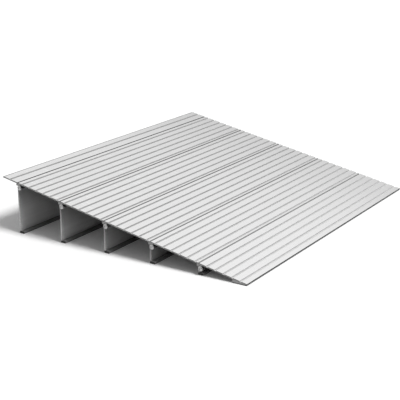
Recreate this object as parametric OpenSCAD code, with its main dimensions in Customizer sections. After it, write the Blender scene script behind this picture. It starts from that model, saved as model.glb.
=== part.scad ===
// Threshold ramp. Ribbed aluminium planks hook together edge to edge to make one sloping deck.
// Under each joint hangs a leg, whose open round socket turns on a bead of the plank above it,
// so that the legs fold flat against the deck. Each leg stands on a slip-on rubber strip.
// The origin is on the floor under the middle of the ramp.
// +X runs downhill, +Y runs across the width and +Z is up.

/* [Ramp] */
// Width of the deck, across the way of travel
deck_w = 914; // [600:1:1300]
// Height of the deck's upper edge above the floor
rise = 150; // [138:1:153]
// Height of the deck's lower edge above the floor
toe_h = 5; // [3.2:0.1:6]
// Length of the nosing plank, down the slope
nosing_len = 52; // [40:1:75]
// Length of each middle plank, down the slope
plank_len = 143; // [141:1:160]
// Length of the toe plank, down the slope
toe_len = 136; // [130:1:165]
// Length of the toe plank's solid front, down the slope
toe_nose_len = 40; // [25:1:60]

/* [Tread] */
// Thickness of the deck plate, ribs included
plate_t = 3.6; // [3.2:0.1:4.4]
// Distance from one tread groove to the next
rib_pitch = 23.6; // [16:0.1:36]
// Width of a tread groove at the tread surface
groove_w = 6.2; // [5:0.1:7.5]
// Width of a tread groove at its floor
groove_floor_w = 4.4; // [3:0.1:4.8]
// Depth of a tread groove
groove_d = 2; // [0.8:0.1:2.2]
// Distance from a joint to the first groove of a middle plank
first_groove = 15.4; // [13:0.1:24]
// Bevel along the outer edges of the nosing and the toe
edge_bevel = 0.6; // [0.4:0.1:1.5]
// Bevel along the two tread edges of a joint
joint_bevel = 2.2; // [0.6:0.1:2.6]
// Length of the taper along the nosing's upper edge, down the slope
nose_taper_len = 5; // [2:0.1:10]
// Depth of that taper at the edge
nose_taper_d = 1.7; // [0.8:0.1:1.7]
// Gap between two planks at the tread surface
seam_gap = 0.4; // [0.2:0.1:0.8]

/* [Leg hinge] */
// Radius of the bead that a leg turns on
bead_r = 4.7; // [4:0.1:5.5]
// Diameter of the screw port along the bead
port_d = 4.2; // [4.1:0.1:5]
// Thickness of the stem that carries the bead
stem_t = 3; // [2:0.1:4]
// Wall of the leg's round socket
socket_wall = 2.3; // [1.6:0.1:3]
// Clearance between the bead and the socket
swing_gap = 0.2; // [0.1:0.05:0.4]
// Clearance between the stem and the socket's lips at either end of the swing
stop_gap = 0.25; // [0.1:0.05:0.5]
// Clear height between the socket and the deck plate
head_gap = 1.8; // [1.2:0.1:3]

/* [Plank joint] */
// Radius of the locking bead under the lower edge of a plank
lock_r = 1.8; // [1.4:0.1:2.2]
// Wall of the channel that holds the locking bead
lock_wall = 1.4; // [1:0.1:2]
// Thickness of the neck that carries the locking bead
neck_w = 1.4; // [1:0.1:1.8]
// Length of that neck
neck_h = 1; // [0.8:0.1:1.6]
// Distance from the joint to the middle of the locking bead
lock_inset = 1.3; // [1.2:0.1:2]
// Clearance between two planks inside their joint
lap_gap = 0.2; // [0.1:0.05:0.3]
// Clearance between the channel and the leg's socket
joint_gap = 0.4; // [0.3:0.05:1]

/* [Leg] */
// Thickness of the leg's web
web_t = 4; // [3:0.1:5]
// Setback of the web's uphill face from the socket's outside
web_inset = 0.4; // [0.2:0.1:1]
// Thickness of the foot flange
flange_t = 2.6; // [2:0.1:3]
// Radius of the bead along the flange's edge
flange_bead_r = 1.9; // [1.7:0.1:2.2]
// Height of the web's lower end above the floor
heel_gap = 0.4; // [0.2:0.1:1]
// Clearance between a folded foot and the deck plate
fold_gap = 0.6; // [0.4:0.1:2]
// End play of a leg between its washers, at each end
end_play = 0.5; // [0.3:0.1:1]

/* [Rubber strips] */
// Height of a foot strip
strip_h = 6.4; // [5.8:0.1:7]
// Rubber beyond the flange's bead
strip_wall = 1.3; // [1:0.1:2]
// Bevel along the two outer edges of a foot strip
strip_bevel = 1.2; // [0.5:0.1:2]
// Clearance between a strip and the metal that it wraps
strip_fit = 0.1; // [0.05:0.05:0.2]
// Thickness of the strip under the toe
toe_strip_t = 2; // [1.5:0.1:2.2]
// Setback of the toe strip from the ends of the toe's sole
toe_strip_setback = 0.5; // [0.2:0.1:2]

/* [Fasteners] */
// Outside diameter of an end washer
washer_d = 12.5; // [11:0.1:14]
// Hole of an end washer
washer_hole_d = 4.5; // [4.4:0.1:6]
// Thickness of an end washer
washer_t = 1.2; // [0.8:0.1:2]
// Diameter of an end screw's shank
screw_d = 4; // [3.5:0.1:4]
// Length of an end screw under its head
screw_len = 16; // [10:1:30]
// Diameter of an end screw's head
screw_head_d = 8.4; // [7:0.1:10]
// Height of an end screw's head
screw_head_h = 2.8; // [2.2:0.1:3.5]
// Radius of the head's domed top
screw_dome_r = 6; // [5.2:0.1:12]
// Length of the head's cross recess
recess_len = 4.4; // [3:0.1:5]
// Width of each slot of the recess
recess_w = 1.1; // [0.8:0.1:1.5]
// Depth of the recess
recess_d = 1.5; // [1:0.1:2]
// Diameter of a lock pin
pin_d = 2; // [1.5:0.1:2.2]
// Bore of a lock pin
pin_bore_d = 1.2; // [0.8:0.1:1.3]
// Slit along a lock pin
pin_slit = 0.5; // [0.3:0.1:0.8]
// Length of a lock pin
pin_len = 4.6; // [4:0.1:4.8]
// Clearance round a lock pin
pin_fit = 0.05; // [0.02:0.01:0.1]
// Distance of a lock pin from the end of its plank
pin_inset = 40; // [15:1:120]

/* [Hidden] */
$fn = 64;
// Reach of a cut beyond the surface that it opens
overrun = 1;
// Straight steps round the open side of a socket, and how far past the socket they reach
mouth_steps = 4;
mouth_reach_share = 1.5;

plank_count = 4;
leg_count = plank_count + 1;
deck_len = nosing_len + plank_count * plank_len + toe_len;
slope = asin((rise - toe_h) / deck_len);
// Turn that brings an upright leg parallel to the deck
fold = 90 - slope;

// Hinge, measured from the joint at the tread surface
socket_ri = bead_r + swing_gap;
socket_ro = socket_ri + socket_wall;
pivot_depth = plate_t + head_gap + socket_ro;
channel_ri = lock_r + lap_gap;
channel_ro = channel_ri + lock_wall;
lock_depth = plate_t + neck_h + lock_r;
lock_to_pivot = channel_ro + joint_gap + socket_ro;
pivot_u = sqrt(pow(lock_to_pivot, 2) - pow(pivot_depth - lock_depth, 2)) - lock_inset;
// Half the angle that the stem and its clearance take up in the socket's mouth
mouth_half = asin((stem_t / 2 + stop_gap) / socket_ri);

// Foot, measured from the leg's pivot
web_x = web_inset - socket_ro;
strip_x = web_x + web_t + strip_fit;
foot_tip_x = pivot_depth - plate_t - fold_gap;
flange_tip_x = foot_tip_x - strip_wall - flange_bead_r;
leg_w = deck_w - 2 * end_play;

// Place of the deck's upper edge, with the whole ramp centred on the origin
back_x = -(plate_t - edge_bevel) * sin(slope);
front_x = deck_len * cos(slope) - edge_bevel * sin(slope);
edge_x = -(back_x + front_x) / 2;
toe_front_x = edge_x + front_x;
// Depth of the toe's solid front at its uphill face, down to the floor
toe_nose_d = (toe_h + toe_nose_len * sin(slope)) / cos(slope);
// Sole of that front, which is cut level for its rubber strip
sole_back_x = toe_front_x + edge_bevel * sin(slope) - toe_nose_len * cos(slope)
    - (toe_nose_d - toe_strip_t / cos(slope)) * sin(slope);
sole_len = toe_front_x - sole_back_x;

pin_y = deck_w / 2 - pin_inset;

// Distance of a joint from the deck's upper edge, down the slope
function seam(k) = nosing_len + (k - 1) * plank_len;

// X and Z of a point at s down the slope and v off the tread surface
function on_deck(s, v) = [
    edge_x + s * cos(slope) + v * sin(slope),
    rise - s * sin(slope) + v * cos(slope)
];

function pivot(k) = on_deck(seam(k) + pivot_u, -pivot_depth);
function lock_point(k) = on_deck(seam(k) - lock_inset, -lock_depth);

// Turns a section drawn in X and Z into a length of extrusion across the ramp
module across(w) {
    translate([0, w / 2, 0])
        rotate([90, 0, 0])
            linear_extrude(w)
                children();
}

// Lays a section on the slope, with its origin at s down from the upper edge
module down_slope(s) {
    translate([edge_x, rise])
        rotate(-slope)
            translate([s, 0])
                children();
}

module at_both_ends() {
    children();
    mirror([0, 1, 0])
        children();
}

module edge_cut(bevel) {
    rotate(45)
        square(bevel * sqrt(2), center = true);
}

module tread_groove() {
    polygon([
        [-groove_w / 2, overrun],
        [-groove_w / 2, 0],
        [-groove_floor_w / 2, -groove_d],
        [groove_floor_w / 2, -groove_d],
        [groove_w / 2, 0],
        [groove_w / 2, overrun]
    ]);
}

module tread_grooves(first, last) {
    for (u = [first : rib_pitch : last])
        translate([u, 0])
            tread_groove();
}

// Uphill edge of a plank: hinge bead on its stem, and the channel for the next plank's locking bead
module heel_solid() {
    translate([pivot_u - stem_t / 2, -pivot_depth])
        square([stem_t, pivot_depth - plate_t / 2]);
    translate([pivot_u, -pivot_depth])
        circle(bead_r);
    translate([-lock_inset, -lock_depth])
        circle(channel_ro);
    difference() {
        translate([seam_gap / 2, -lock_depth])
            square([pivot_u - seam_gap / 2, lock_depth - plate_t / 2]);
        translate([pivot_u, -pivot_depth])
            circle(socket_ro + joint_gap);
    }
}

// What the heel leaves open: the uphill plank's seat, the channel with its mouth, and the screw port
module heel_cuts() {
    seat_depth = plate_t + lap_gap;
    seat_len = lock_inset + channel_ro + overrun;
    mouth_w = neck_w + 2 * lap_gap;
    translate([-seat_len, -seat_depth])
        square([seat_len + seam_gap / 2, seat_depth + overrun]);
    translate([-lock_inset, -lock_depth])
        circle(channel_ri);
    translate([-lock_inset - mouth_w / 2, -lock_depth])
        square([mouth_w, lock_depth]);
    translate([pivot_u, -pivot_depth])
        circle(d = port_d);
}

// Downhill edge of a plank: the locking bead on its neck
module tail_solid() {
    translate([-lock_inset - neck_w / 2, -lock_depth])
        square([neck_w, lock_depth - plate_t / 2]);
    translate([-lock_inset, -lock_depth])
        circle(lock_r);
}

// Wedge that thins the nosing towards its upper edge
module nose_taper() {
    fall = nose_taper_d / nose_taper_len;
    polygon([
        [-overrun, overrun],
        [-overrun, -nose_taper_d - overrun * fall],
        [nose_taper_len, 0],
        [nose_taper_len, overrun]
    ]);
}

module nosing_profile() {
    end = nosing_len - seam_gap / 2;
    difference() {
        union() {
            translate([0, -plate_t])
                square([end, plate_t]);
            translate([nosing_len, 0])
                tail_solid();
        }
        translate([0, -plate_t])
            edge_cut(edge_bevel);
        translate([end, 0])
            edge_cut(joint_bevel);
        nose_taper();
        translate([nosing_len / 2, 0])
            tread_groove();
    }
}

module plank_profile() {
    start = seam_gap / 2;
    end = plank_len - seam_gap / 2;
    difference() {
        union() {
            translate([start, -plate_t])
                square([end - start, plate_t]);
            heel_solid();
            translate([plank_len, 0])
                tail_solid();
        }
        heel_cuts();
        for (u = [start, end])
            translate([u, 0])
                edge_cut(joint_bevel);
        tread_grooves(first_groove, plank_len - groove_w);
    }
}

module toe_profile() {
    start = seam_gap / 2;
    difference() {
        union() {
            translate([start, -plate_t])
                square([toe_len - start, plate_t]);
            translate([toe_len - toe_nose_len, -toe_nose_d])
                square([toe_nose_len, toe_nose_d - plate_t / 2]);
            heel_solid();
        }
        heel_cuts();
        translate([start, 0])
            edge_cut(joint_bevel);
        translate([toe_len, 0])
            edge_cut(edge_bevel);
        tread_grooves(rib_pitch, toe_len - rib_pitch / 2);
    }
}

// Open side of a leg's socket, from the lip that stops it folded to the lip that stops it upright
module socket_mouth() {
    sweep = fold + 2 * mouth_half;
    reach = socket_ro * mouth_reach_share;
    rim = [
        for (i = [0 : mouth_steps])
            let (turn = i * sweep / mouth_steps - mouth_half)
                [reach * cos(turn), reach * sin(turn)]
    ];
    polygon(concat([[0, 0]], rim));
}

// Foot flange with its edge bead, grown all round by fit
module flange_profile(h, fit) {
    translate([web_x, (strip_h - flange_t) / 2 - fit - h])
        square([flange_tip_x - web_x, flange_t + 2 * fit]);
    translate([flange_tip_x, strip_h / 2 - h])
        circle(flange_bead_r + fit);
}

// Leg section round its pivot, which is h above the floor
module leg_profile(h) {
    difference() {
        union() {
            circle(socket_ro);
            translate([web_x, heel_gap - h])
                square([web_t, h - heel_gap]);
            flange_profile(h, 0);
        }
        circle(socket_ri);
        socket_mouth();
    }
}

// Strip section round the leg's pivot, hollowed under the socket where a leg is that short
module foot_strip_profile(h) {
    difference() {
        translate([0, -h])
            polygon([
                [strip_x, 0],
                [foot_tip_x - strip_bevel, 0],
                [foot_tip_x, strip_bevel],
                [foot_tip_x, strip_h - strip_bevel],
                [foot_tip_x - strip_bevel, strip_h],
                [strip_x, strip_h]
            ]);
        flange_profile(h, strip_fit);
        circle(socket_ro + strip_fit);
    }
}

// Holes for the pins that lock the planks at one joint
module pin_holes(k) {
    at_both_ends()
        translate([lock_point(k)[0], pin_y, lock_point(k)[1]])
            rotate([0, slope, 0])
                translate([0, 0, -channel_ro - overrun])
                    cylinder(d = pin_d + 2 * pin_fit, h = pin_len + overrun + pin_fit);
}

module nosing_plank() {
    color("gainsboro")
        difference() {
            across(deck_w)
                down_slope(0)
                    nosing_profile();
            pin_holes(1);
        }
}

module deck_plank(k) {
    color("gainsboro")
        difference() {
            across(deck_w)
                down_slope(seam(k))
                    plank_profile();
            pin_holes(k);
            pin_holes(k + 1);
        }
}

module toe_plank() {
    color("gainsboro")
        difference() {
            across(deck_w)
                difference() {
                    down_slope(seam(leg_count))
                        toe_profile();
                    translate([toe_front_x - toe_len, -toe_nose_d])
                        square([toe_len + overrun, toe_nose_d + toe_strip_t]);
                }
            pin_holes(leg_count);
        }
}

module leg(k) {
    color("silver")
        across(leg_w)
            translate(pivot(k))
                leg_profile(pivot(k)[1]);
}

module foot_strip(k) {
    color("#202020")
        across(leg_w)
            translate(pivot(k))
                foot_strip_profile(pivot(k)[1]);
}

module toe_strip() {
    color("#202020")
        across(deck_w)
            translate([sole_back_x + toe_strip_setback, 0])
                square([sole_len - 2 * toe_strip_setback, toe_strip_t]);
}

module end_screw() {
    difference() {
        union() {
            translate([0, 0, -screw_len])
                cylinder(d = screw_d, h = screw_len + screw_head_h / 2);
            rotate_extrude()
                intersection() {
                    square([screw_head_d / 2, screw_head_h]);
                    translate([0, screw_head_h - screw_dome_r])
                        circle(screw_dome_r);
                }
        }
        for (turn = [0, 90])
            rotate(turn)
                translate([-recess_len / 2, -recess_w / 2, screw_head_h - recess_d])
                    cube([recess_len, recess_w, recess_d + overrun]);
    }
}

module end_washer() {
    difference() {
        cylinder(d = washer_d, h = washer_t);
        translate([0, 0, -overrun])
            cylinder(d = washer_hole_d, h = washer_t + 2 * overrun);
    }
}

module lock_pin() {
    difference() {
        cylinder(d = pin_d, h = pin_len);
        translate([0, 0, -overrun])
            cylinder(d = pin_bore_d, h = pin_len + 2 * overrun);
        translate([0, -pin_slit / 2, -overrun])
            cube([pin_d, pin_slit, pin_len + 2 * overrun]);
    }
}

// Sets a fastener on the end of every hinge bead, pointing out of the ramp's side
module on_bead_ends(lift) {
    for (k = [1 : leg_count])
        at_both_ends()
            translate([pivot(k)[0], deck_w / 2 + lift, pivot(k)[1]])
                rotate([-90, 0, 0])
                    children();
}

module end_screws() {
    color("lightsteelblue")
        on_bead_ends(washer_t)
            end_screw();
}

module end_washers() {
    color("lightsteelblue")
        on_bead_ends(0)
            end_washer();
}

module lock_pins() {
    color("slategray")
        for (k = [1 : leg_count])
            at_both_ends()
                translate([lock_point(k)[0], pin_y, lock_point(k)[1]])
                    rotate([0, slope, 0])
                        translate([0, 0, -channel_ro])
                            lock_pin();
}

nosing_plank();
for (k = [1 : plank_count])
    deck_plank(k);
toe_plank();
for (k = [1 : leg_count])
    leg(k);
for (k = [1 : leg_count])
    foot_strip(k);
toe_strip();
end_screws();
end_washers();
lock_pins();
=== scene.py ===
# %% [markdown]
# # A threshold ramp in bare aluminium
# The ramp is put together from straight lengths of extrusion: ribbed planks for the deck, legs that
# hang under each joint, and black rubber strips where it meets the ground. All the shapes come from
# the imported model, in metres, so this lesson is about looking closely at finishes and light.

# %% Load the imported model
import math

import bpy
from mathutils import Matrix, Vector


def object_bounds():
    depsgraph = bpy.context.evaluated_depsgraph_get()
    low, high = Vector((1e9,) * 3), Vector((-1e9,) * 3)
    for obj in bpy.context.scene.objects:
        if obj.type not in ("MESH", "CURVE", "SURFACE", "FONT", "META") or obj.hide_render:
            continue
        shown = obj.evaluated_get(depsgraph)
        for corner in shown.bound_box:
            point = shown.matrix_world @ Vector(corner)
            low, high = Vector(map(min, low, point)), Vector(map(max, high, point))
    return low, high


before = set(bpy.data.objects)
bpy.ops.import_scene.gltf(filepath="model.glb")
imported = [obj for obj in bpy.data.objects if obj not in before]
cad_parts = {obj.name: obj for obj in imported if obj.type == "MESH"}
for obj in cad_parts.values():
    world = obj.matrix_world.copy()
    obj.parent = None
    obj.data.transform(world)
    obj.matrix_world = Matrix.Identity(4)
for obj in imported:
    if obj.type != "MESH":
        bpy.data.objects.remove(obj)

MM = 0.001

cad_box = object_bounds()
cad_size = cad_box[1] - cad_box[0]
print("pieces:", len(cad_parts), "size in mm:", [round(side / MM) for side in cad_size])

# %% [markdown]
# ## The camera
# The photograph was taken from the low side, a little above the deck, with a long lens that keeps
# the edges of the deck nearly parallel. The eye sits on a line that leaves the aim point at a given
# azimuth and elevation. Its three axes fill the columns of a rotation matrix, which keeps the
# horizon level without any tracking constraint.

# %% Set up the camera
AIM = Vector((0.0, -0.0757, 0.0457))
AZIMUTH = math.radians(32.579)
ELEVATION = math.radians(17.409)
DISTANCE = 2.9398
SENSOR_WIDTH = 36.0
LENS = 95.41
FAR_CLIP = 100.0

back = Vector((
    math.sin(AZIMUTH) * math.cos(ELEVATION),
    -math.cos(AZIMUTH) * math.cos(ELEVATION),
    math.sin(ELEVATION),
))
right = Vector((math.cos(AZIMUTH), math.sin(AZIMUTH), 0.0))
up = back.cross(right)

camera_data = bpy.data.cameras.new("photo_camera")
camera_data.sensor_width = SENSOR_WIDTH
camera_data.lens = LENS
camera_data.clip_end = FAR_CLIP
camera = bpy.data.objects.new("photo_camera", camera_data)
bpy.context.scene.collection.objects.link(camera)
axes = Matrix((right, up, back)).transposed().to_4x4()
camera.matrix_world = Matrix.Translation(AIM + back * DISTANCE) @ axes
bpy.context.scene.camera = camera
print("camera at", [round(v, 3) for v in camera.matrix_world.translation])

# %% [markdown]
# ## Helpers for every material
# Colours are picked as they look on a screen, as sRGB hex values, but shaders add and multiply
# light, so one function turns hex into linear numbers by the standard sRGB curve. A second one adds
# a shader node, sets what is given and links what is given, so that a material reads from top to
# bottom like a recipe. A third one starts a material with an empty tree.


# %% Define the helpers
def linear(hex_colour):
    channels = [int(hex_colour[i:i + 2], 16) / 255 for i in (1, 3, 5)]
    return [c / 12.92 if c <= 0.04045 else ((c + 0.055) / 1.055) ** 2.4 for c in channels] + [1.0]


def add(tree, kind, settings=None, **inputs):
    node = tree.nodes.new(kind)
    for name, value in (settings or {}).items():
        setattr(node, name, value)
    for name, value in inputs.items():
        key = int(name[1:]) if name[0] == "i" and name[1:].isdigit() else name.replace("_", " ")
        if isinstance(value, bpy.types.NodeSocket):
            tree.links.new(value, node.inputs[key])
        else:
            node.inputs[key].default_value = value
    return node


def new_material(name):
    material = bpy.data.materials.new(name)
    material.use_nodes = True
    material.node_tree.nodes.clear()
    return material, material.node_tree


print("white is", linear("#ffffff"), "and mid grey is", [round(c, 3) for c in linear("#808080")])

# %% [markdown]
# ## Cut ends
# Every long piece is cut to length, and its cut ends look unlike the rest. They could be given a
# material of their own, face by face. But only the ends face along Y, so the surface normal picks
# them out inside one material.

# %% Define the mask for cut ends
END_FACING = 0.7


def cut_ends(tree, normal):
    facing = add(tree, "ShaderNodeSeparateXYZ", Vector=normal)
    end_side = add(tree, "ShaderNodeMath", {"operation": "ABSOLUTE"}, i0=facing.outputs["Y"])
    end = add(tree, "ShaderNodeMath", {"operation": "GREATER_THAN"}, i0=end_side.outputs[0], i1=END_FACING)
    return end.outputs[0]


print("a cut end is steeper along Y than", round(math.degrees(math.asin(END_FACING))), "degrees")

# %% [markdown]
# ## The marks that extrusion leaves
# Planks and legs are both pushed hot through a die, which draws faint lines along the whole length,
# and both are then sawn. Die lines are a noise that is stretched far along Y. Real ones are under
# half a millimetre apart, so they are drawn 3 mm apart here to show at all. The saw leaves fine arcs
# on the ends, which are bands round a far centre, again drawn coarser than real.

# %% Define the extrusion marks
DIE_LINE = 3.0 * MM
DIE_LINE_LENGTH = 600.0 * MM
DIE_LINE_DETAIL = 3.0
CLOUD = 90.0 * MM
CLOUD_DETAIL = 4.0
SAW_MARK = 1.5 * MM
SAW_RADIUS = 150.0 * MM
SAW_WANDER = 2.0
# Distance in which a wave texture of scale 1 repeats
WAVE_REPEAT = 0.314


def extrusion_marks(tree):
    place = add(tree, "ShaderNodeTexCoord")
    stretch = add(tree, "ShaderNodeMapping", Vector=place.outputs["Object"],
                  Scale=(1 / DIE_LINE, 1 / DIE_LINE_LENGTH, 1 / DIE_LINE))
    lines = add(tree, "ShaderNodeTexNoise", Vector=stretch.outputs["Vector"], Scale=1.0,
                Detail=DIE_LINE_DETAIL)
    clouds = add(tree, "ShaderNodeTexNoise", Vector=place.outputs["Object"], Scale=1 / CLOUD,
                 Detail=CLOUD_DETAIL)
    sawn = cut_ends(tree, place.outputs["Normal"])
    arc_centre = add(tree, "ShaderNodeMapping", Vector=place.outputs["Object"],
                     Location=(0.0, 0.0, SAW_RADIUS), Scale=(1.0, 0.0, 1.0))
    arcs = add(tree, "ShaderNodeTexWave", {"wave_type": "RINGS", "rings_direction": "SPHERICAL"},
               Vector=arc_centre.outputs["Vector"], Scale=WAVE_REPEAT / SAW_MARK, Distortion=SAW_WANDER)
    return place.outputs["Object"], lines.outputs["Fac"], clouds.outputs["Fac"], sawn, arcs.outputs["Fac"]


print("die lines", DIE_LINE / MM, "mm apart, saw marks", SAW_MARK / MM, "mm apart")

# %% [markdown]
# ## The tread as one tilted plane
# Wheels and shoes rub the flat tops of the tread, while dust stays in the grooves and joints, which are
# painted darker as shade there too. Both are a matter of depth under the tread surface. All six planks
# share one tilted plane, so the depth of any point is a dot product with the plane's normal. The slope
# comes from the deck's length and fall. The plane's level is measured on a plank, and the deck's upper
# edge on the nosing.

# %% Measure the tread plane
DECK_LENGTH = 760.0 * MM
DECK_FALL = 145.0 * MM

slope = math.asin(DECK_FALL / DECK_LENGTH)
tread_normal = Vector((math.sin(slope), 0.0, math.cos(slope)))
tread_level = max(vertex.co.dot(tread_normal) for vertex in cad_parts["deck_plank_2"].data.vertices)
down_slope = Vector((math.cos(slope), 0.0, -math.sin(slope)))
deck_edge = min(vertex.co.dot(down_slope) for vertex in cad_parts["nosing_plank"].data.vertices)
half_deck = DECK_LENGTH / 2


def depth_under_tread(tree, place):
    height = add(tree, "ShaderNodeVectorMath", {"operation": "DOT_PRODUCT"}, i0=place, i1=tread_normal)
    depth = add(tree, "ShaderNodeMath", {"operation": "SUBTRACT"}, i0=tread_level,
                i1=height.outputs["Value"])
    return depth.outputs[0]


print("slope", round(math.degrees(slope), 2), "degrees, tread level", round(tread_level / MM, 2), "mm")

# %% [markdown]
# ## Clear anodised aluminium, extruded
# The planks are etched and clear anodised to an even silver satin: a bright metal with soft reflections
# and thin streaks that all run across the ramp. The low end is brighter than the high end, partly polish
# from feet and wheels and partly a painted sheen. Feet and wheels also leave short bright rubs down the
# slope, drawn 4 mm wide so that they show.
# Wear could be painted on an image, but then each plank would need one. Masks that are worked out
# from a point's place serve all six planks at once.

# %% Polish the planks and paint their sheen
RUB_WIDTH = 4.0 * MM
RUB_LENGTH = 70.0 * MM
RUB_DETAIL = 2.0
RUB_STARTS = 0.62
RUB_FULL = 0.72
POLISH_AND_SHEEN = linear("#f2f2f2")
POLISH_AND_SHEEN_SHARE = 0.8

plank_metal, tree = new_material("clear_anodised_extruded_aluminium")
place, lines, clouds, sawn, arcs = extrusion_marks(tree)
along = add(tree, "ShaderNodeVectorMath", {"operation": "DOT_PRODUCT"}, i0=place, i1=down_slope)
streaks = add(tree, "ShaderNodeMix", {"data_type": "RGBA"}, Factor=lines,
              A=linear("#dbdbdb"), B=linear("#e7e7e7"))
# Painted sheen as well as polish: the deck grows brighter towards its low end.
polish_and_sheen = add(tree, "ShaderNodeMapRange", Value=along.outputs["Value"], From_Min=-half_deck,
             From_Max=half_deck, To_Min=0.0, To_Max=POLISH_AND_SHEEN_SHARE)
polished_and_sheen = add(tree, "ShaderNodeMix", {"data_type": "RGBA"}, Factor=polish_and_sheen.outputs["Result"],
               A=streaks.outputs["Result"], B=POLISH_AND_SHEEN)
rub_space = add(tree, "ShaderNodeMapping", Vector=place,
                Scale=(1 / RUB_LENGTH, 1 / RUB_WIDTH, 1 / RUB_LENGTH))
rub_noise = add(tree, "ShaderNodeTexNoise", Vector=rub_space.outputs["Vector"], Scale=1.0,
                Detail=RUB_DETAIL)
rubbed = add(tree, "ShaderNodeMapRange", Value=rub_noise.outputs["Fac"], From_Min=RUB_STARTS,
             From_Max=RUB_FULL)
bright = add(tree, "ShaderNodeMix", {"data_type": "RGBA"}, Factor=rubbed.outputs["Result"],
             A=polished_and_sheen.outputs["Result"], B=POLISH_AND_SHEEN)
print("rubs are", RUB_WIDTH / MM, "mm wide and", RUB_LENGTH / MM, "mm long")

# %% [markdown]
# Grey dust settles in the grooves, so depth darkens them down to their floor, and they are painted darker
# again as shade. The mask fades out again above the underside of the plate, which lies deeper still. The
# joints hold darker dirt and painted shade. They lie one plank apart, so a ping-pong of the distance down
# the slope gives the way to the nearest one. Traffic sweeps the low end cleaner, so dust and dirt with
# their painted shade each have a share for the high end and one for the low.

# %% Lay dust and painted shade in the grooves, dirt and painted shade in the joints
HOLLOW_STARTS = 0.1 * MM
HOLLOW_FULL = 0.7 * MM
HOLLOW_FADES = 2.6 * MM
HOLLOW_STOPS = 3.4 * MM
NOSING = 52.0 * MM
PLANK = 143.0 * MM
JOINT_MIDDLE = 2.0 * MM
JOINT_EDGE = 3.4 * MM
GROOVE_HIGH = 0.88
GROOVE_LOW = 0.55
JOINT_HIGH = 1.0
JOINT_LOW = 0.62

depth = depth_under_tread(tree, place)
sunk = add(tree, "ShaderNodeMapRange", {"interpolation_type": "SMOOTHSTEP"}, Value=depth,
           From_Min=HOLLOW_STARTS, From_Max=HOLLOW_FULL)
above = add(tree, "ShaderNodeMapRange", {"interpolation_type": "SMOOTHSTEP"}, Value=depth,
            From_Min=HOLLOW_FADES, From_Max=HOLLOW_STOPS, To_Min=1.0, To_Max=0.0)
hollow = add(tree, "ShaderNodeMath", {"operation": "MULTIPLY"}, i0=sunk.outputs["Result"],
             i1=above.outputs["Result"])
from_joint = add(tree, "ShaderNodeMath", {"operation": "SUBTRACT"}, i0=along.outputs["Value"],
                 i1=deck_edge + NOSING)
joint_far = add(tree, "ShaderNodeMath", {"operation": "PINGPONG"}, i0=from_joint.outputs[0], i1=PLANK / 2)
in_joint = add(tree, "ShaderNodeMapRange", {"interpolation_type": "SMOOTHSTEP"},
               Value=joint_far.outputs[0], From_Min=JOINT_MIDDLE, From_Max=JOINT_EDGE,
               To_Min=1.0, To_Max=0.0)
groove_share = add(tree, "ShaderNodeMapRange", Value=along.outputs["Value"], From_Min=0.0,
                   From_Max=half_deck, To_Min=GROOVE_HIGH, To_Max=GROOVE_LOW)
joint_share = add(tree, "ShaderNodeMapRange", Value=along.outputs["Value"], From_Min=-half_deck,
                  From_Max=half_deck, To_Min=JOINT_HIGH, To_Max=JOINT_LOW)
share = add(tree, "ShaderNodeMix", Factor=in_joint.outputs["Result"], A=groove_share.outputs["Result"],
            B=joint_share.outputs["Result"])
dust_and_painted_light = add(tree, "ShaderNodeMath", {"operation": "MULTIPLY"}, i0=hollow.outputs[0],
            i1=share.outputs["Result"])
# Painted shade: grooves and joints are darker than their dust and dirt alone would make them.
dirt_and_shade = add(tree, "ShaderNodeMix", {"data_type": "RGBA"}, Factor=in_joint.outputs["Result"],
           A=linear("#9f9f9f"), B=linear("#222222"))
dust_and_shade = add(tree, "ShaderNodeMix", {"data_type": "RGBA"}, Factor=dust_and_painted_light.outputs[0],
           A=bright.outputs["Result"], B=dirt_and_shade.outputs["Result"])
print("dust is full", HOLLOW_FULL / MM, "mm under the tread, joints lie", PLANK / MM, "mm apart")

# %% [markdown]
# The front edge, the faces that turn uphill, such as the back of the nosing against the sill, and the
# underside of the plate are painted dark grey as shade. Place finds the front edge, the surface normal
# finds the back and the underside, and depth keeps the painted shade off the beads further down.

# %% Paint shade on the edges and the underside
FRONT_EDGE = 0.7 * MM
PLATE_BOTTOM = 4.2 * MM
UNDER_FACING = -0.5
BACK_FACING = -0.25
UPHILL_SHADE_SHARE = 0.6

surface = add(tree, "ShaderNodeTexCoord")
front = add(tree, "ShaderNodeMath", {"operation": "GREATER_THAN"}, i0=along.outputs["Value"],
            i1=deck_edge + DECK_LENGTH - FRONT_EDGE)
downhill = add(tree, "ShaderNodeVectorMath", {"operation": "DOT_PRODUCT"},
               i0=surface.outputs["Normal"], i1=down_slope)
uphill = add(tree, "ShaderNodeMath", {"operation": "LESS_THAN"}, i0=downhill.outputs["Value"],
             i1=BACK_FACING)
uphill_shade = add(tree, "ShaderNodeMath", {"operation": "MULTIPLY"}, i0=uphill.outputs[0], i1=UPHILL_SHADE_SHARE)
upward = add(tree, "ShaderNodeVectorMath", {"operation": "DOT_PRODUCT"},
             i0=surface.outputs["Normal"], i1=tread_normal)
downward = add(tree, "ShaderNodeMath", {"operation": "LESS_THAN"}, i0=upward.outputs["Value"],
               i1=UNDER_FACING)
in_plate = add(tree, "ShaderNodeMath", {"operation": "LESS_THAN"}, i0=depth, i1=PLATE_BOTTOM)
under = add(tree, "ShaderNodeMath", {"operation": "MULTIPLY"}, i0=downward.outputs[0],
            i1=in_plate.outputs[0])
edges = add(tree, "ShaderNodeMath", {"operation": "MAXIMUM"}, i0=front.outputs[0], i1=uphill_shade.outputs[0])
painted_shade = add(tree, "ShaderNodeMath", {"operation": "MAXIMUM"}, i0=edges.outputs[0], i1=under.outputs[0])
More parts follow.
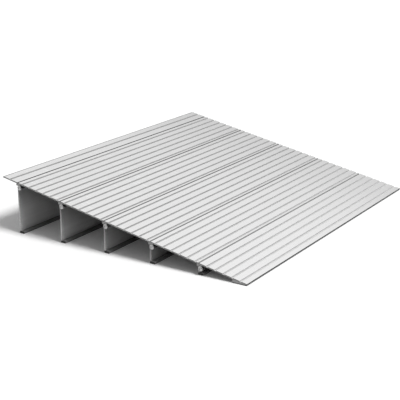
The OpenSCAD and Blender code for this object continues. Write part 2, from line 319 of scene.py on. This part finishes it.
# Painted shade: the front edge, the uphill faces and the underside of the plate turn dark grey.
shaded = add(tree, "ShaderNodeMix", {"data_type": "RGBA"}, Factor=painted_shade.outputs[0],
              A=dust_and_shade.outputs["Result"], B=linear("#494949"))
print("the scuffed front is", FRONT_EDGE / MM, "mm deep")

# %% [markdown]
# The ends are sawn after anodising, with the arcs of the saw across them, and are painted a good deal
# darker than the tread as shade. The satin varies a little in large clouds, and dust makes the grooves
# matt. The die lines also bend the light a little, as a bump.

# %% Finish the plank metal
SATIN_SMOOTH = 0.14
SATIN_ROUGH = 0.20
MATT_DUST = 0.5
RIDGE_HEIGHT = 0.1 * MM
SATIN_RIDGES = 0.08

# Painted shade: the plank ends are much darker than the tread.
end_tone = add(tree, "ShaderNodeMix", {"data_type": "RGBA"}, Factor=arcs,
               A=linear("#767676"), B=linear("#8d8d8d"))
finish = add(tree, "ShaderNodeMix", {"data_type": "RGBA"}, Factor=sawn,
             A=shaded.outputs["Result"], B=end_tone.outputs["Result"])
satin = add(tree, "ShaderNodeMapRange", Value=clouds, To_Min=SATIN_SMOOTH, To_Max=SATIN_ROUGH)
rough = add(tree, "ShaderNodeMath", {"operation": "MULTIPLY_ADD"}, i0=hollow.outputs[0], i1=MATT_DUST,
            i2=satin.outputs["Result"])
ridges = add(tree, "ShaderNodeBump", Height=lines, Strength=SATIN_RIDGES, Distance=RIDGE_HEIGHT)
metal = add(tree, "ShaderNodeBsdfPrincipled", Base_Color=finish.outputs["Result"], Metallic=1.0,
            Roughness=rough.outputs[0], Normal=ridges.outputs["Normal"])
add(tree, "ShaderNodeOutputMaterial", Surface=metal.outputs["BSDF"])
print(plank_metal.name, "has", len(tree.nodes), "nodes")

# %% [markdown]
# ## Mill finish aluminium, extruded
# The legs are left as they come from the press: the same die lines, much rougher, with cloudy handling
# marks in the sheen. Towards the deck each leg is painted darker, as shade under the deck, and the foot
# that stands in its rubber strip is black with dirt. Both could be painted leg by leg. Here they are again
# a matter of place, which suits legs of any height: depth under the tread for the painted shade, height
# above the ground for the dirt.

# %% Make the leg metal
DECK_SHADE_FULL = 8.0 * MM
DECK_SHADE_STOPS = 75.0 * MM
DIRT_FULL = 5.5 * MM
DIRT_STOPS = 7.5 * MM
MILL_SMOOTH = 0.58
MILL_ROUGH = 0.7
MILL_RIDGES = 0.1

leg_metal, tree = new_material("mill_finish_extruded_aluminium")
place, lines, clouds, sawn, arcs = extrusion_marks(tree)
streaks = add(tree, "ShaderNodeMix", {"data_type": "RGBA"}, Factor=lines,
              A=linear("#e2e2e2"), B=linear("#f0f0f0"))
handled = add(tree, "ShaderNodeMix", {"data_type": "RGBA", "blend_type": "MULTIPLY"}, Factor=clouds,
              A=streaks.outputs["Result"], B=linear("#eeeeee"))
end_tone = add(tree, "ShaderNodeMix", {"data_type": "RGBA"}, Factor=arcs,
               A=linear("#a2a2a2"), B=linear("#bababa"))
bare = add(tree, "ShaderNodeMix", {"data_type": "RGBA"}, Factor=sawn,
           A=handled.outputs["Result"], B=end_tone.outputs["Result"])
# Painted shade: each leg darkens towards the deck above it.
deck_shade = add(tree, "ShaderNodeMapRange", Value=depth_under_tread(tree, place), From_Min=DECK_SHADE_FULL,
            From_Max=DECK_SHADE_STOPS, To_Min=1.0, To_Max=0.0)
shaded_under_deck = add(tree, "ShaderNodeMix", {"data_type": "RGBA", "blend_type": "MULTIPLY"},
            Factor=deck_shade.outputs["Result"], A=bare.outputs["Result"], B=linear("#b0b0b0"))
ground = add(tree, "ShaderNodeSeparateXYZ", Vector=place)
splash = add(tree, "ShaderNodeMapRange", Value=ground.outputs["Z"], From_Min=DIRT_FULL,
             From_Max=DIRT_STOPS, To_Min=1.0, To_Max=0.0)
finish = add(tree, "ShaderNodeMix", {"data_type": "RGBA"}, Factor=splash.outputs["Result"],
             A=shaded_under_deck.outputs["Result"], B=linear("#3b3b3b"))
rough = add(tree, "ShaderNodeMapRange", Value=clouds, To_Min=MILL_SMOOTH, To_Max=MILL_ROUGH)
ridges = add(tree, "ShaderNodeBump", Height=lines, Strength=MILL_RIDGES, Distance=RIDGE_HEIGHT)
metal = add(tree, "ShaderNodeBsdfPrincipled", Base_Color=finish.outputs["Result"], Metallic=1.0,
            Roughness=rough.outputs["Result"], Normal=ridges.outputs["Normal"])
add(tree, "ShaderNodeOutputMaterial", Surface=metal.outputs["BSDF"])
print(leg_metal.name, "has", len(tree.nodes), "nodes")

# %% [markdown]
# ## Black rubber, extruded
# The strips on the feet and under the toe are a matt black rubber. Their skin is painted grey, partly as a
# bloom of pale dust and partly as painted light that lifts the strips out of the shade under the deck,
# while the freshly cut ends show the black. One flat grey would look like paint, so a broad noise sets the
# bloom and a fine one roughens the skin. Real grain is far finer than the 0.8 mm that it is drawn at, so
# that it shows in a close view.

# %% Make the rubber
GRAIN = 0.8 * MM
GRAIN_DETAIL = 2.0
BLOOM = 25.0 * MM
BLOOM_DETAIL = 5.0
PORE_DEPTH = 0.1 * MM
PORE_STRENGTH = 0.25
RUBBER_ROUGHNESS = 0.75
RUBBER_IOR = 1.52

rubber, tree = new_material("black_extruded_rubber")
place = add(tree, "ShaderNodeTexCoord")
grain = add(tree, "ShaderNodeTexNoise", Vector=place.outputs["Object"], Scale=1 / GRAIN,
            Detail=GRAIN_DETAIL)
bloom = add(tree, "ShaderNodeTexNoise", Vector=place.outputs["Object"], Scale=1 / BLOOM,
            Detail=BLOOM_DETAIL)
# Painted light: the skin's greys are lighter than black rubber, partly dust and partly light painted in
# against the shade.
dust_and_painted_light = add(tree, "ShaderNodeMix", {"data_type": "RGBA"}, Factor=bloom.outputs["Fac"],
            A=linear("#6c6c6c"), B=linear("#888888"))
tone = add(tree, "ShaderNodeMix", {"data_type": "RGBA"}, Factor=cut_ends(tree, place.outputs["Normal"]),
           A=dust_and_painted_light.outputs["Result"], B=linear("#303030"))
pores = add(tree, "ShaderNodeBump", Height=grain.outputs["Fac"], Strength=PORE_STRENGTH,
            Distance=PORE_DEPTH)
skin = add(tree, "ShaderNodeBsdfPrincipled", Base_Color=tone.outputs["Result"],
           Roughness=RUBBER_ROUGHNESS, IOR=RUBBER_IOR, Normal=pores.outputs["Normal"])
add(tree, "ShaderNodeOutputMaterial", Surface=skin.outputs["BSDF"])
print(rubber.name, "has", len(tree.nodes), "nodes")

# %% [markdown]
# ## Bright zinc plated steel
# The screws, washers and pins are steel with a thin bright zinc plating, an even pale grey with
# small cloudy changes in gloss. They are only a few pixels wide in the photograph, so one noise that
# moves both tone and roughness is enough, and still holds up in a close view.

# %% Make the plating
SPANGLE = 2.0 * MM
SPANGLE_DETAIL = 2.0
PLATING_SMOOTH = 0.22
PLATING_ROUGH = 0.36

plating, tree = new_material("bright_zinc_plated_steel")
place = add(tree, "ShaderNodeTexCoord")
spangle = add(tree, "ShaderNodeTexNoise", Vector=place.outputs["Object"], Scale=1 / SPANGLE,
              Detail=SPANGLE_DETAIL)
tone = add(tree, "ShaderNodeMix", {"data_type": "RGBA"}, Factor=spangle.outputs["Fac"],
           A=linear("#a2a2a2"), B=linear("#bababa"))
rough = add(tree, "ShaderNodeMapRange", Value=spangle.outputs["Fac"], To_Min=PLATING_SMOOTH,
            To_Max=PLATING_ROUGH)
metal = add(tree, "ShaderNodeBsdfPrincipled", Base_Color=tone.outputs["Result"], Metallic=1.0,
            Roughness=rough.outputs["Result"])
add(tree, "ShaderNodeOutputMaterial", Surface=metal.outputs["BSDF"])
print(plating.name, "has", len(tree.nodes), "nodes")

# %% [markdown]
# ## Dressing the pieces
# Each piece already stands in its place, so it only needs its finish. A list could name all twenty,
# but the first letters of a name already say what a piece is, so a short table does.

# %% Give each piece its finish
FINISHES = {
    "nosing_plank": plank_metal,
    "deck_plank": plank_metal,
    "toe_plank": plank_metal,
    "leg": leg_metal,
    "foot_strip": rubber,
    "toe_strip": rubber,
    "end_screws": plating,
    "end_washers": plating,
    "lock_pins": plating,
}
for name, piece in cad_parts.items():
    kind = next(start for start in FINISHES if name.startswith(start))
    piece.data.materials.clear()
    piece.data.materials.append(FINISHES[kind])
    print(name, "wears", FINISHES[kind].name)

# %% [markdown]
# ## Floor and light
# The photograph has a white floor that runs into a white background, with a soft shadow on the high
# side. A pale floor under plain light is nearly white already, and a small glow that only the camera
# and reflections see takes it the rest of the way, so the shadow stays. A ray counts as seen until
# it has bounced off something matt, so the glow never lights the ground under the deck.

# %% Tell seen rays from lighting rays
# A count of matt bounces below this is none
FIRST_MATT_BOUNCE = 0.5


def seen_rays(tree):
    rays = add(tree, "ShaderNodeLightPath")
    direct = add(tree, "ShaderNodeMath", {"operation": "ADD", "use_clamp": True},
                 i0=rays.outputs["Is Camera Ray"], i1=rays.outputs["Is Glossy Ray"])
    through = add(tree, "ShaderNodeMath", {"operation": "ADD", "use_clamp": True},
                  i0=direct.outputs[0], i1=rays.outputs["Is Transmission Ray"])
    unscattered = add(tree, "ShaderNodeMath", {"operation": "LESS_THAN"},
                      i0=rays.outputs["Diffuse Depth"], i1=FIRST_MATT_BOUNCE)
    seen = add(tree, "ShaderNodeMath", {"operation": "MULTIPLY"}, i0=through.outputs[0],
               i1=unscattered.outputs[0])
    return seen.outputs[0]


print("seen rays: camera, glossy and transmission, before any matt bounce")

# %% Lay the floor
FLOOR_SIZE = 30.0
FLOOR_GLOW = 0.03

bpy.ops.mesh.primitive_plane_add(size=FLOOR_SIZE, location=(0.0, 0.0, cad_box[0].z))
floor = bpy.context.object
floor.name = "studio_floor"
paper, tree = new_material("white_studio_paper")
glow = add(tree, "ShaderNodeMath", {"operation": "MULTIPLY"}, i0=seen_rays(tree), i1=FLOOR_GLOW)
matt = add(tree, "ShaderNodeBsdfDiffuse", Color=linear("#fdfdfd"))
lift = add(tree, "ShaderNodeEmission", Color=linear("#ffffff"), Strength=glow.outputs[0])
both = add(tree, "ShaderNodeAddShader", i0=matt.outputs["BSDF"], i1=lift.outputs["Emission"])
add(tree, "ShaderNodeOutputMaterial", Surface=both.outputs["Shader"])
floor.data.materials.append(paper)
print("floor at", round(floor.location.z, 4), "m")

# %% [markdown]
# The room is white overhead and grey towards the horizon. The deck mirrors a lower part of it at its
# far side than at its near side, so its sheen falls off there as it does in the photograph. A wall of
# lamps could do the same, but a step in the world's colour is even from every side.

# %% Paint the room
SKY = 0.38
OVERHEAD = 1.0
GREY_BELOW = 0.355
WHITE_ABOVE = 0.44

world = bpy.data.worlds.new("white_room")
world.use_nodes = True
bpy.context.scene.world = world
tree = world.node_tree
tree.nodes.clear()
strength = add(tree, "ShaderNodeMapRange", Value=seen_rays(tree), To_Min=SKY, To_Max=OVERHEAD)
look = add(tree, "ShaderNodeTexCoord")
heading = add(tree, "ShaderNodeSeparateXYZ", Vector=look.outputs["Generated"])
rise = add(tree, "ShaderNodeMapRange", {"interpolation_type": "SMOOTHSTEP"}, Value=heading.outputs["Z"],
           From_Min=GREY_BELOW, From_Max=WHITE_ABOVE)
wall = add(tree, "ShaderNodeMix", {"data_type": "RGBA"}, Factor=rise.outputs["Result"],
           A=linear("#b8b8b8"), B=linear("#ffffff"))
sky = add(tree, "ShaderNodeBackground", Color=wall.outputs["Result"], Strength=strength.outputs["Result"])
add(tree, "ShaderNodeOutputWorld", Surface=sky.outputs["Background"])
print("the sky lights at", SKY, "and is seen at", OVERHEAD)

# %% [markdown]
# One broad sun stands over the low side and throws the shadow uphill. Its width softens the shadow's
# edge more, the higher the deck stands above the ground.

# %% Hang the sun
SUN_STRENGTH = 2.85
SUN_HEIGHT = math.radians(55)
SUN_SWING = math.radians(2)
SUN_WIDTH = math.radians(23)

sun_data = bpy.data.lights.new("broad_sun", "SUN")
sun_data.energy = SUN_STRENGTH
sun_data.angle = SUN_WIDTH
sun = bpy.data.objects.new("broad_sun", sun_data)
bpy.context.scene.collection.objects.link(sun)
sun_from = Vector((
    math.cos(SUN_HEIGHT) * math.cos(SUN_SWING),
    math.cos(SUN_HEIGHT) * math.sin(SUN_SWING),
    math.sin(SUN_HEIGHT),
))
sun.rotation_euler = sun_from.to_track_quat("Z", "Y").to_euler()
bpy.context.scene.view_settings.view_transform = "Standard"
print("sun", SUN_STRENGTH, "from", [round(v, 2) for v in sun_from])
